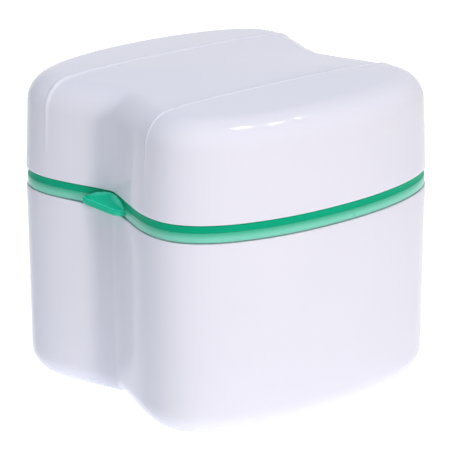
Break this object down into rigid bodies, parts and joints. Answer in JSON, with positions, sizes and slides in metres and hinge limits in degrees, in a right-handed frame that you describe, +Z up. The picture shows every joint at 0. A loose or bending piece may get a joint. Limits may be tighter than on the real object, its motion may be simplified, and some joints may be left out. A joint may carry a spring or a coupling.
{
  "type": "denture case",
  "caption": "Denture soaking case: white waisted tub and hinged domed lid, with a mint collar between them that holds a lift-out strainer and a thumb-tab latch.",
  "frame": {"origin": "middle of the case's footprint, hinge barrel included, at the height of the foot rim", "axes": "+Z up, -Y towards the front notch with the thumb tab, +Y towards the hinge, +X across the width"},
  "size_m": [0.09, 0.088, 0.0827],
  "materials": {
    "white_plastic": "glossy moulded white",
    "mint_plastic": "slightly translucent mint, smooth",
    "green_plastic": "strong sea green, smooth",
    "strainer_plastic": "translucent green, smooth",
    "seal_rubber": "soft dark green silicone",
    "pin_steel": "bright drawn wire"
  },
  "bodies": {
    "base": {"tub": "white_plastic"},
    "insert": {"collar": "mint_plastic", "strainer": "strainer_plastic", "lid_seal": "seal_rubber", "tub_seal": "seal_rubber", "hinge_pin": "pin_steel", "latch_pin": "pin_steel"},
    "lid": {"lid": "white_plastic"},
    "latch": {"latch": "green_plastic"}
  },
  "joints": [
    {"name": "insert_lift", "type": "slide", "parent": "base", "child": "insert", "axis": [0, 0, 1], "range_m": [0, 0.06]},
    {"name": "lid_hinge", "type": "hinge", "parent": "insert", "child": "lid", "pos_m": [0, 0.04197, 0.0554], "axis": [-1, 0, 0], "range_deg": [0, 105]},
    {"name": "latch_press", "type": "hinge", "parent": "insert", "child": "latch", "pos_m": [0, -0.0365, 0.0533], "axis": [1, 0, 0], "range_deg": [0, 6], "stiffness_Nm_per_rad": 0.05}
  ]
}
